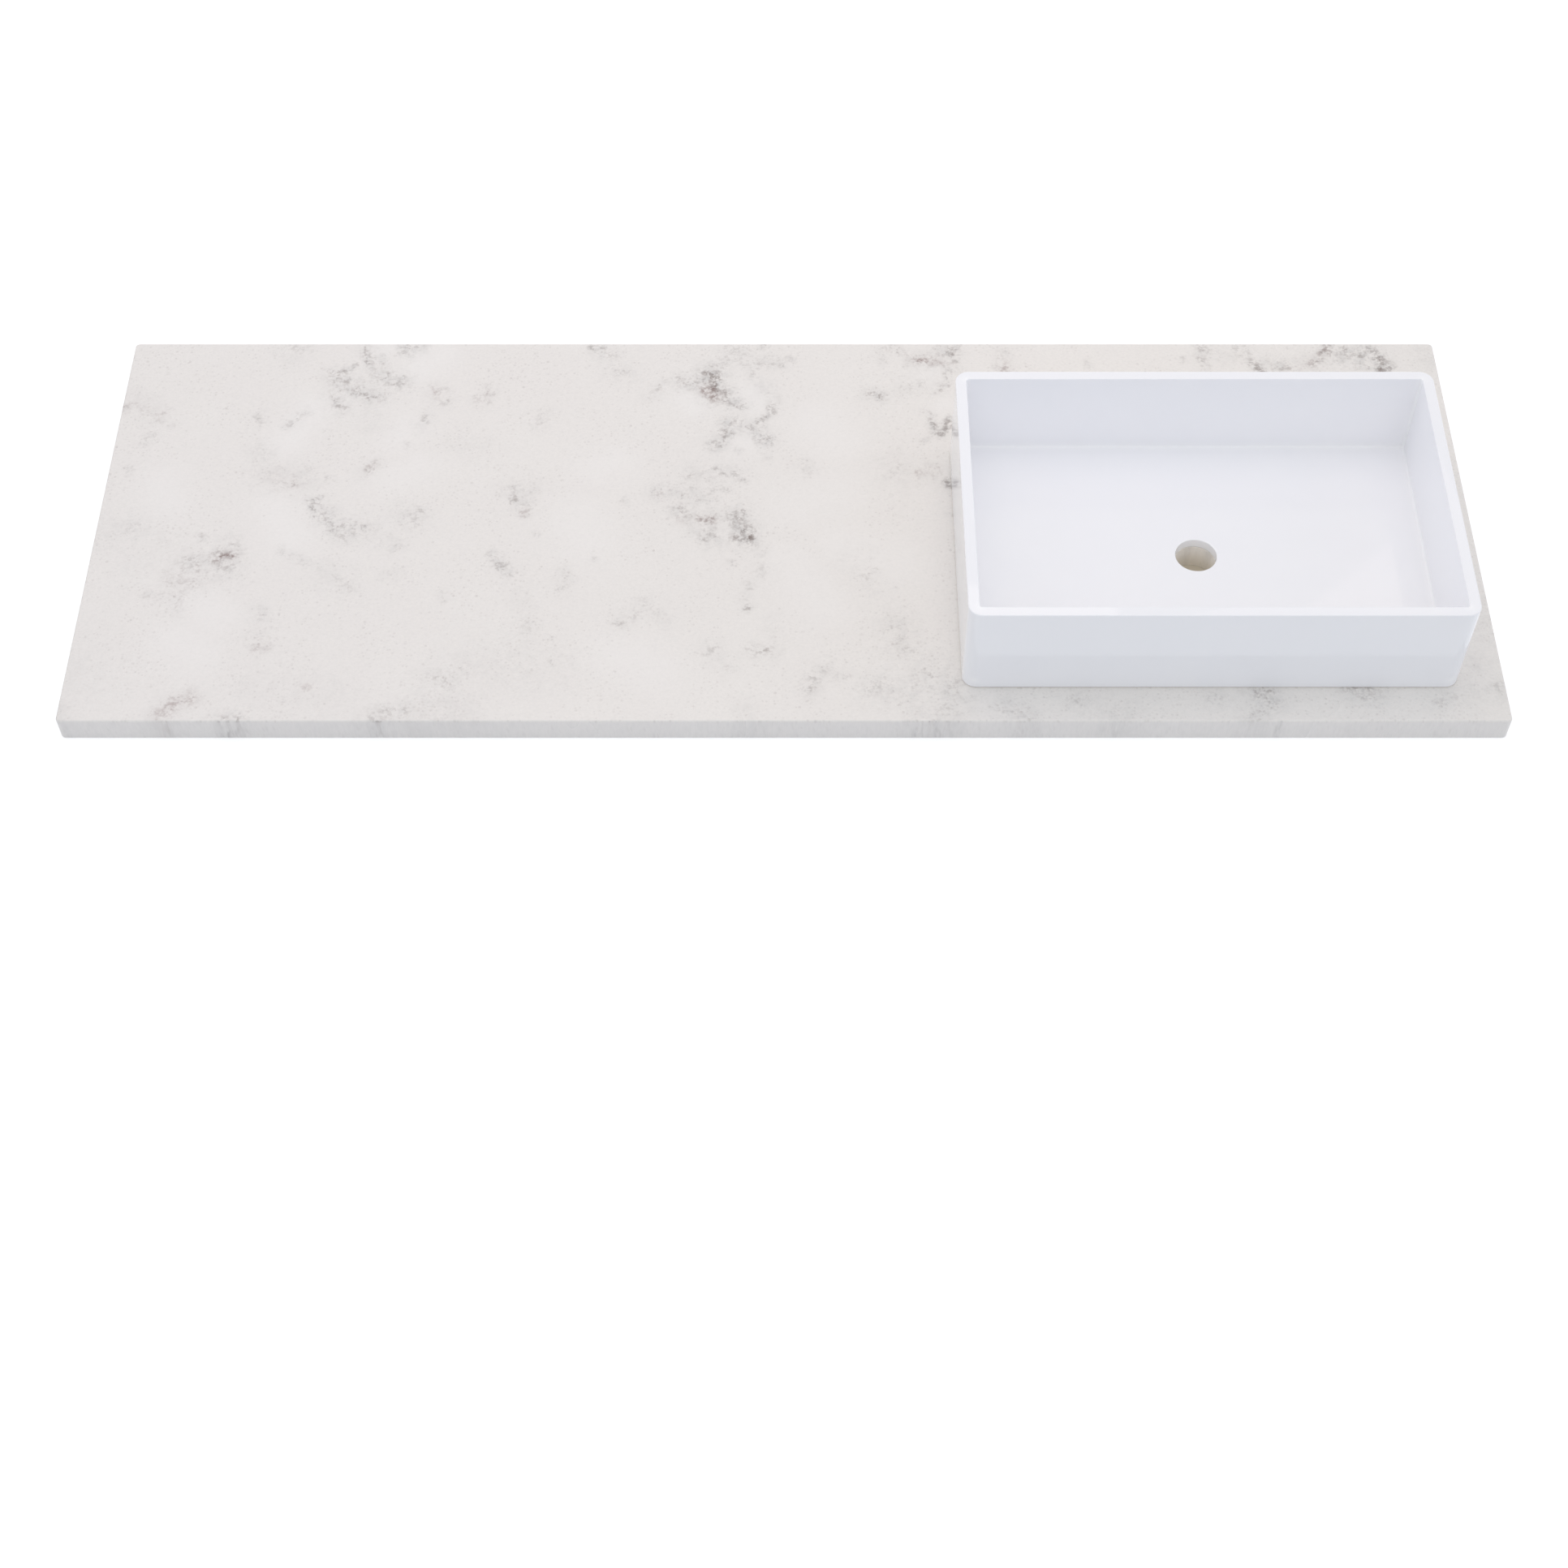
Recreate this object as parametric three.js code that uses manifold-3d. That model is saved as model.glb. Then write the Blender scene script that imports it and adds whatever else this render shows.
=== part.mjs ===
// Vanity sink top: an engineered-quartz slab with a rectangular basin bedded on it near its right-hand end.
// Millimetres. +X runs to the right, +Y to the wall and +Z up. The origin is the centre of the slab's underside.
import * as THREE from 'three';
import { mergeVertices } from 'three/addons/utils/BufferGeometryUtils.js';
import Module from 'manifold-3d';

// Slab, cut from a 3 cm board
const SLAB_LENGTH = 1524;
const SLAB_DEPTH = 559;
const SLAB_THICKNESS = 30;
const SLAB_CORNER_RADIUS = 5;
const SLAB_EDGE_EASE = 2;

// Basin
const BASIN_LENGTH = 524;
const BASIN_DEPTH = 349;
const BASIN_HEIGHT = 117;
const BASIN_WALL = 12;
const BASIN_FLOOR = 11;
const BASIN_CORNER_RADIUS = 15;
const BASIN_INNER_CORNER_RADIUS = 3;
const BASIN_RIM_EASE = 1.2;

// The basin's place on the slab, from the slab's right-hand end and from its front edge
const BASIN_RIGHT_MARGIN = 50;
const BASIN_FRONT_MARGIN = 44.5;

// Waste hole, bored through the basin's floor and the slab on one axis in the middle of the basin
const WASTE_HOLE_RADIUS = 22.5;
const WASTE_HOLE_EASE = 1;

// Silicone between the basin and the slab
const BED_THICKNESS = 1;
const BEAD_WIDTH = 12;
const BEAD_SETBACK = 1;
const SEAL_WIDTH = 9;
const SEAL_SETBACK = 3;

// The fillet along the foot of the basin's inner walls, as a share of the inner corner radius
const COVE_SHARE = 0.8;

// How far a cutting solid runs past the face that it opens
const CUT_OVERRUN = 5;

// Steps in an eased edge, in half of a corner's arc and round the waste hole
const EASE_STEPS = 3;
const CHAMFER_STEPS = 1;
const CORNER_HALF_STEPS = 4;
const HOLE_STEPS = 64;

const wasm = await Module();
wasm.setup();

// A rectangle with round corners, centred on the origin
function roundedRectangle(OutlineClass, length, depth, radius) {
  const outline = new OutlineClass();
  const x = length / 2 - radius;
  const y = depth / 2 - radius;
  outline.moveTo(-x, -y - radius);
  outline.lineTo(x, -y - radius);
  outline.absarc(x, -y, radius, -Math.PI / 2, 0);
  outline.lineTo(x + radius, y);
  outline.absarc(x, y, radius, 0, Math.PI / 2);
  outline.lineTo(-x, y + radius);
  outline.absarc(-x, y, radius, Math.PI / 2, Math.PI);
  outline.lineTo(-x - radius, -y);
  outline.absarc(-x, -y, radius, Math.PI, 1.5 * Math.PI);
  return outline;
}

// An upright block on the plane z = 0, with the edges of both ends eased inwards
function easedBlock(outline, height, ease, steps) {
  const block = new THREE.ExtrudeGeometry(outline, {
    depth: height - 2 * ease,
    curveSegments: CORNER_HALF_STEPS,
    bevelThickness: ease,
    bevelSize: ease,
    bevelOffset: -ease,
    bevelSegments: steps,
  });
  return block.translate(0, 0, ease);
}

// A round boring tool up the Z axis, from below z = 0 to above z = top, that eases the edge of its mouth at the top
function boringTool(top) {
  const flare = WASTE_HOLE_EASE + CUT_OVERRUN;
  const profile = [
    new THREE.Vector2(0, -CUT_OVERRUN),
    new THREE.Vector2(WASTE_HOLE_RADIUS, -CUT_OVERRUN),
    new THREE.Vector2(WASTE_HOLE_RADIUS, top - WASTE_HOLE_EASE),
    new THREE.Vector2(WASTE_HOLE_RADIUS + flare, top + CUT_OVERRUN),
    new THREE.Vector2(0, top + CUT_OVERRUN),
  ];
  return new THREE.LatheGeometry(profile, HOLE_STEPS).rotateX(Math.PI / 2);
}

// The triangles of a closed surface as a solid, with shared corners merged and triangles without area left out
function solidFrom(geometry) {
  const surface = geometry.clone();
  surface.deleteAttribute('normal');
  surface.deleteAttribute('uv');
  const welded = mergeVertices(surface);
  const corners = welded.index.array;
  const triangles = [];
  for (let i = 0; i < corners.length; i += 3) {
    const [a, b, c] = [corners[i], corners[i + 1], corners[i + 2]];
    if (a !== b && b !== c && c !== a) triangles.push(a, b, c);
  }
  return new wasm.Manifold(new wasm.Mesh({
    numProp: 3,
    vertProperties: new Float32Array(welded.attributes.position.array),
    triVerts: new Uint32Array(triangles),
  }));
}

function geometryFrom(solid) {
  const mesh = solid.getMesh();
  const geometry = new THREE.BufferGeometry();
  geometry.setAttribute('position', new THREE.BufferAttribute(new Float32Array(mesh.vertProperties), 3));
  geometry.setIndex(new THREE.BufferAttribute(new Uint32Array(mesh.triVerts), 1));
  geometry.computeVertexNormals();
  return geometry;
}

function namedMesh(name, geometry, material) {
  const mesh = new THREE.Mesh(geometry, material);
  mesh.name = name;
  return mesh;
}

// The slab, bored where the middle of the basin stands
function quartzSlab(wasteX, wasteY) {
  const outline = roundedRectangle(THREE.Shape, SLAB_LENGTH, SLAB_DEPTH, SLAB_CORNER_RADIUS);
  const board = solidFrom(easedBlock(outline, SLAB_THICKNESS, SLAB_EDGE_EASE, EASE_STEPS));
  const bore = solidFrom(boringTool(SLAB_THICKNESS).translate(wasteX, wasteY, 0));
  const material = new THREE.MeshStandardMaterial({ color: '#e7e3df', roughness: 0.3, metalness: 0 });
  return namedMesh('quartz_slab', geometryFrom(board.subtract(bore)), material);
}

// The basin, standing on z = 0: a block hollowed from above, with an eased rim and a bored floor
function basin() {
  const outline = roundedRectangle(THREE.Shape, BASIN_LENGTH, BASIN_DEPTH, BASIN_CORNER_RADIUS);
  const block = solidFrom(easedBlock(outline, BASIN_HEIGHT, BASIN_RIM_EASE, EASE_STEPS));

  const innerLength = BASIN_LENGTH - 2 * BASIN_WALL;
  const innerDepth = BASIN_DEPTH - 2 * BASIN_WALL;
  const cove = BASIN_INNER_CORNER_RADIUS * COVE_SHARE;
  const innerOutline = roundedRectangle(THREE.Shape, innerLength, innerDepth, BASIN_INNER_CORNER_RADIUS);
  const hollowHeight = BASIN_HEIGHT - BASIN_FLOOR + CUT_OVERRUN;
  const hollow = easedBlock(innerOutline, hollowHeight, cove, EASE_STEPS).translate(0, 0, BASIN_FLOOR);

  const flare = BASIN_RIM_EASE + CUT_OVERRUN;
  const flareRadius = BASIN_INNER_CORNER_RADIUS + flare;
  const mouthOutline = roundedRectangle(THREE.Shape, innerLength + 2 * flare, innerDepth + 2 * flare, flareRadius);
  const mouth = easedBlock(mouthOutline, 3 * flare, flare, CHAMFER_STEPS);
  mouth.translate(0, 0, BASIN_HEIGHT - BASIN_RIM_EASE);

  const bore = boringTool(BASIN_FLOOR);
  const shell = block.subtract(solidFrom(hollow)).subtract(solidFrom(mouth)).subtract(solidFrom(bore));
  const material = new THREE.MeshStandardMaterial({ color: '#f1f1f5', roughness: 0.12, metalness: 0 });
  return namedMesh('basin', geometryFrom(shell), material);
}

// The bead of silicone under the basin's walls, a closed band set back from the basin's faces
function beddingBead(material) {
  const length = BASIN_LENGTH - 2 * BEAD_SETBACK;
  const depth = BASIN_DEPTH - 2 * BEAD_SETBACK;
  const radius = BASIN_CORNER_RADIUS - BEAD_SETBACK;
  const band = roundedRectangle(THREE.Shape, length, depth, radius);
  band.holes.push(roundedRectangle(THREE.Path, length - 2 * BEAD_WIDTH, depth - 2 * BEAD_WIDTH, radius));
  const geometry = new THREE.ExtrudeGeometry(band, {
    depth: BED_THICKNESS,
    curveSegments: CORNER_HALF_STEPS,
    bevelEnabled: false,
  });
  return namedMesh('bedding_bead', geometry, material);
}

// The ring of silicone round the waste hole, set back from the hole's wall
function wasteHoleSeal(material) {
  const inner = WASTE_HOLE_RADIUS + WASTE_HOLE_EASE + SEAL_SETBACK;
  const outer = inner + SEAL_WIDTH;
  const profile = [
    new THREE.Vector2(inner, 0),
    new THREE.Vector2(outer, 0),
    new THREE.Vector2(outer, BED_THICKNESS),
    new THREE.Vector2(inner, BED_THICKNESS),
    new THREE.Vector2(inner, 0),
  ];
  const geometry = new THREE.LatheGeometry(profile, HOLE_STEPS).rotateX(Math.PI / 2);
  return namedMesh('waste_hole_seal', geometry, material);
}

// The basin with the silicone under it, seated on the slab's top
function seatedBasin(x, y) {
  const silicone = new THREE.MeshStandardMaterial({ color: '#cfcfcb', roughness: 0.45, metalness: 0 });
  const seated = new THREE.Group();
  const basinMesh = basin();
  basinMesh.position.z = BED_THICKNESS;
  seated.add(basinMesh, beddingBead(silicone), wasteHoleSeal(silicone.clone()));
  seated.position.set(x, y, SLAB_THICKNESS);
  return seated;
}

const basinX = SLAB_LENGTH / 2 - BASIN_RIGHT_MARGIN - BASIN_LENGTH / 2;
const basinY = -SLAB_DEPTH / 2 + BASIN_FRONT_MARGIN + BASIN_DEPTH / 2;

const vanitySinkTop = new THREE.Group();
vanitySinkTop.add(quartzSlab(basinX, basinY), seatedBasin(basinX, basinY));

export default vanitySinkTop;
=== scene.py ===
"""The looks of a vanity sink top: a polished quartz slab with a glazed basin bedded on its right-hand end."""
import math

import bmesh
import bpy
import numpy as np
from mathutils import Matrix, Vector, noise


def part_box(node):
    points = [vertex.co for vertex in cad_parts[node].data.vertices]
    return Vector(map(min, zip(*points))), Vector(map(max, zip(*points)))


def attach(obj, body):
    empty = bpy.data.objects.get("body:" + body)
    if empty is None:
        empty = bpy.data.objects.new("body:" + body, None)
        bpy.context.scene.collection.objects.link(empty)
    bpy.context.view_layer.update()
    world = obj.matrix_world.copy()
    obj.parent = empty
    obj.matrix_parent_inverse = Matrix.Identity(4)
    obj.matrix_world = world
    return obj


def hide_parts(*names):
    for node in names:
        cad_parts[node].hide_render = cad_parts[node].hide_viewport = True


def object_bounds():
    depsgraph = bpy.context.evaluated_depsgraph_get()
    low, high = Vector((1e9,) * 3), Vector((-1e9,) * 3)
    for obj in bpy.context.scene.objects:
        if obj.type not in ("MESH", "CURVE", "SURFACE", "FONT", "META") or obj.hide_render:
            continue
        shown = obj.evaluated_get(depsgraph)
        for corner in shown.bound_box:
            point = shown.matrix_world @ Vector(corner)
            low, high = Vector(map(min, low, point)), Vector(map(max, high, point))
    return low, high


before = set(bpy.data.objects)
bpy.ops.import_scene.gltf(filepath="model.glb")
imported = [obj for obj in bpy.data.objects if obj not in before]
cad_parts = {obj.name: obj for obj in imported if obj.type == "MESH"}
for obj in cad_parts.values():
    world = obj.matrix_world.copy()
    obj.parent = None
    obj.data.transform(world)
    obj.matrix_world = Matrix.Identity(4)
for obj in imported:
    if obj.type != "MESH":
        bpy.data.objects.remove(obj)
cad_low, cad_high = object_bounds()

MM = 0.001

# Rounded edges and corners: the radius, and the number of facets that it is made with
SLAB_CORNER = (5 * MM, 8)
SLAB_ARRIS = (2 * MM, 4)
BASIN_CORNER = (15 * MM, 12)
BASIN_INNER_CORNER = (3 * MM, 6)
BASIN_COVE = (2.4 * MM, 5)
BASIN_RIM = (1.2 * MM, 4)
BASIN_FOOT = (0.5 * MM, 3)
BEAD_CORNER = (14 * MM, 8)
SILICONE_BULGE = (0.3 * MM, 3)

# The slab's top is a fine grid, which holds the pattern, inside a plain margin
FIELD_MARGIN = 6 * MM
FIELD_COLUMNS = 440
FIELD_ROWS = 160
EDGE_ROWS = 4

BASIN_WALL = 12 * MM
BASIN_FLOOR = 11 * MM

# Waste hole, bored through the basin's floor and the slab, with eased mouths
HOLE_RADIUS = 22.5 * MM
HOLE_EASE = 1 * MM
HOLE_SIDES = 96
MOUTH_STEPS = 4
MOUTH_LIFT = 0.03 * MM
BORE_OVERRUN = 5 * MM

# Silicone under the basin's walls and round the waste hole
BEAD_WIDTH = 12 * MM
SEAL_WIDTH = 9 * MM

# What counts as the same place, as a level face and as a smooth edge
SAME_PLACE = 0.01 * MM
LEVEL = 0.9
SMOOTH_ANGLE = math.radians(40)


# Selecting and shaping by hand

def clear_selection():
    bpy.ops.object.select_all(action="DESELECT")


def settle(name):
    """Names the primitive just added and puts its place and size in its mesh."""
    piece = bpy.context.object
    piece.name = name
    piece.data.name = name
    bpy.ops.object.transform_apply(location=True, rotation=True, scale=True)
    return piece


def open_mesh():
    bpy.ops.object.mode_set(mode="EDIT")


def close_mesh():
    bpy.ops.object.mode_set(mode="OBJECT")


def select_parts(piece, kind, wanted):
    """Selects the faces or the edges that are wanted, and nothing else."""
    bpy.ops.mesh.select_mode(type=kind)
    bpy.ops.mesh.select_all(action="DESELECT")
    mesh = bmesh.from_edit_mesh(piece.data)
    for part in mesh.faces if kind == "FACE" else mesh.edges:
        if wanted(part):
            part.select_set(True)
    mesh.select_flush_mode()
    bmesh.update_edit_mesh(piece.data)


def select_faces(piece, wanted):
    select_parts(piece, "FACE", wanted)


def select_edges(piece, wanted):
    select_parts(piece, "EDGE", wanted)


def near(a, b):
    return abs(a - b) < SAME_PLACE


def is_upright(edge):
    a, b = (vertex.co for vertex in edge.verts)
    return near(a.x, b.x) and near(a.y, b.y)


def is_arris(edge, height):
    """An edge at this height between a level face and an upright one."""
    is_at_height = all(near(vertex.co.z, height) for vertex in edge.verts)
    tilts = sorted(abs(face.normal.z) for face in edge.link_faces)
    return is_at_height and len(tilts) == 2 and tilts[0] < 1 - LEVEL and tilts[1] > LEVEL


def lies_within(edge, centre, half_length, half_depth):
    return all(
        abs(vertex.co.x - centre.x) < half_length and abs(vertex.co.y - centre.y) < half_depth
        for vertex in edge.verts
    )


def extrude(move):
    bpy.ops.mesh.extrude_region_move(TRANSFORM_OT_translate={"value": move})


def bevel(radius, facets):
    bpy.ops.mesh.bevel(offset=radius, segments=facets, profile=0.5, affect="EDGES")


def ease_arrises(piece, heights, ease):
    """Rounds the arrises at these heights."""
    select_edges(piece, lambda edge: any(is_arris(edge, height) for height in heights))
    bevel(*ease)


def add_block(name, low, high):
    clear_selection()
    bpy.ops.mesh.primitive_cube_add(size=1, location=(low + high) / 2, scale=high - low)
    return settle(name)


def finish_surface(piece):
    """Smooth faces up to the sharp edges, with normals that keep the flat faces flat."""
    clear_selection()
    piece.select_set(True)
    bpy.context.view_layer.objects.active = piece
    bpy.ops.object.shade_smooth_by_angle(angle=SMOOTH_ANGLE)
    modifier = piece.modifiers.new("even_normals", "WEIGHTED_NORMAL")
    modifier.keep_sharp = True
    bpy.ops.object.modifier_apply(modifier=modifier.name)


def bore_waste_hole(piece, centre, bottom, top):
    """Cuts the round hole between two heights, with a rounded mouth at the top."""
    clear_selection()
    start = bottom - BORE_OVERRUN
    wall_top = top - HOLE_EASE + MOUTH_LIFT
    bpy.ops.mesh.primitive_cylinder_add(
        vertices=HOLE_SIDES,
        radius=HOLE_RADIUS,
        depth=wall_top - start,
        location=(centre.x, centre.y, (wall_top + start) / 2),
    )
    tool = settle("boring_tool")
    open_mesh()
    select_faces(tool, lambda face: face.normal.z > LEVEL)
    radius = HOLE_RADIUS
    height = wall_top
    for step in range(1, MOUTH_STEPS + 1):
        turn = math.pi / 2 * step / MOUTH_STEPS
        next_radius = HOLE_RADIUS + HOLE_EASE * (1 - math.cos(turn))
        next_height = wall_top + HOLE_EASE * math.sin(turn)
        extrude((0, 0, next_height - height))
        share = next_radius / radius
        middle = (centre.x, centre.y, next_height)
        bpy.ops.transform.resize(value=(share, share, 1), center_override=middle)
        radius = next_radius
        height = next_height
    extrude((0, 0, BORE_OVERRUN))
    close_mesh()
    bpy.context.view_layer.objects.active = piece
    cut = piece.modifiers.new("waste_hole", "BOOLEAN")
    cut.operation = "DIFFERENCE"
    cut.solver = "EXACT"
    cut.object = tool
    bpy.ops.object.modifier_apply(modifier=cut.name)
    bpy.data.objects.remove(tool)


# The slab

def quartz_slab(hole_centre):
    low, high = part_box("quartz_slab")
    size = high - low
    field_length = size.x - 2 * FIELD_MARGIN
    field_depth = size.y - 2 * FIELD_MARGIN
    middle = ((low.x + high.x) / 2, (low.y + high.y) / 2, high.z)
    clear_selection()
    bpy.ops.mesh.primitive_grid_add(
        x_subdivisions=FIELD_COLUMNS, y_subdivisions=FIELD_ROWS, size=1, location=middle
    )
    slab = settle("polished_quartz_slab")
    open_mesh()
    bpy.ops.transform.resize(value=(field_length, field_depth, 1), center_override=middle)
    for side in (Vector((1, 0, 0)), Vector((-1, 0, 0)), Vector((0, 1, 0)), Vector((0, -1, 0))):
        reach = abs(side.dot(size)) / 2 - FIELD_MARGIN

        def is_on_side(edge):
            places = (side.dot(vertex.co - Vector(middle)) for vertex in edge.verts)
            return edge.is_boundary and all(near(place, reach) for place in places)

        select_edges(slab, is_on_side)
        extrude(side * FIELD_MARGIN)
    select_edges(slab, lambda edge: edge.is_boundary)
    for _ in range(EDGE_ROWS):
        extrude((0, 0, -size.z / EDGE_ROWS))
    bpy.ops.mesh.edge_face_add()

    def is_corner(edge):
        point = edge.verts[0].co
        at_end = near(point.x, low.x) or near(point.x, high.x)
        at_side = near(point.y, low.y) or near(point.y, high.y)
        return is_upright(edge) and at_end and at_side

    select_edges(slab, is_corner)
    bevel(*SLAB_CORNER)
    ease_arrises(slab, (high.z, low.z), SLAB_ARRIS)
    close_mesh()
    bore_waste_hole(slab, hole_centre, low.z, high.z)
    finish_surface(slab)
    return slab


# The basin: a block, hollowed from above, with its corners, rim, cove and foot eased

def glazed_basin(hole_centre):
    low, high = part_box("basin")
    centre = (low + high) / 2
    half = (high - low) / 2
    floor_height = low.z + BASIN_FLOOR
    basin = add_block("glazed_basin", low, high)
    open_mesh()
    select_faces(basin, lambda face: face.normal.z > LEVEL)
    bpy.ops.mesh.inset(thickness=BASIN_WALL)
    extrude((0, 0, floor_height - high.z))

    def is_inside(edge):
        reach = BASIN_WALL / 2
        return lies_within(edge, centre, half.x - reach, half.y - reach)

    select_edges(basin, lambda edge: is_upright(edge) and is_inside(edge))
    bevel(*BASIN_INNER_CORNER)
    select_edges(basin, lambda edge: is_upright(edge) and not is_inside(edge))
    bevel(*BASIN_CORNER)
    ease_arrises(basin, (floor_height,), BASIN_COVE)
    ease_arrises(basin, (high.z,), BASIN_RIM)
    ease_arrises(basin, (low.z,), BASIN_FOOT)
    close_mesh()
    bore_waste_hole(basin, hole_centre, low.z, floor_height)
    finish_surface(basin)
    return basin


# The silicone: a band under the walls and a ring round the hole, with bulged edges

def finish_ring(piece, low, high, width):
    """Opens a flat block or disc to a ring of this width, and rounds its arrises."""
    select_faces(piece, lambda face: abs(face.normal.z) > LEVEL)
    bpy.ops.mesh.inset(thickness=width)
    bpy.ops.mesh.bridge_edge_loops()
    ease_arrises(piece, (high.z, low.z), SILICONE_BULGE)
    close_mesh()
    finish_surface(piece)
    return piece


def squeezed_bead():
    low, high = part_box("bedding_bead")
    bead = add_block("bedding_bead_silicone", low, high)
    open_mesh()
    select_edges(bead, is_upright)
    bevel(*BEAD_CORNER)
    return finish_ring(bead, low, high, BEAD_WIDTH)


def squeezed_ring():
    low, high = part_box("waste_hole_seal")
    clear_selection()
    bpy.ops.mesh.primitive_cylinder_add(
        vertices=HOLE_SIDES,
        radius=(high.x - low.x) / 2,
        depth=high.z - low.z,
        location=(low + high) / 2,
    )
    ring = settle("waste_hole_silicone")
    open_mesh()
    return finish_ring(ring, low, high, SEAL_WIDTH)


# The stone's pattern, in millimetres on the slab's top. Each stroke has its strength, its half width,
# and then x and y of each of its points

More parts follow.
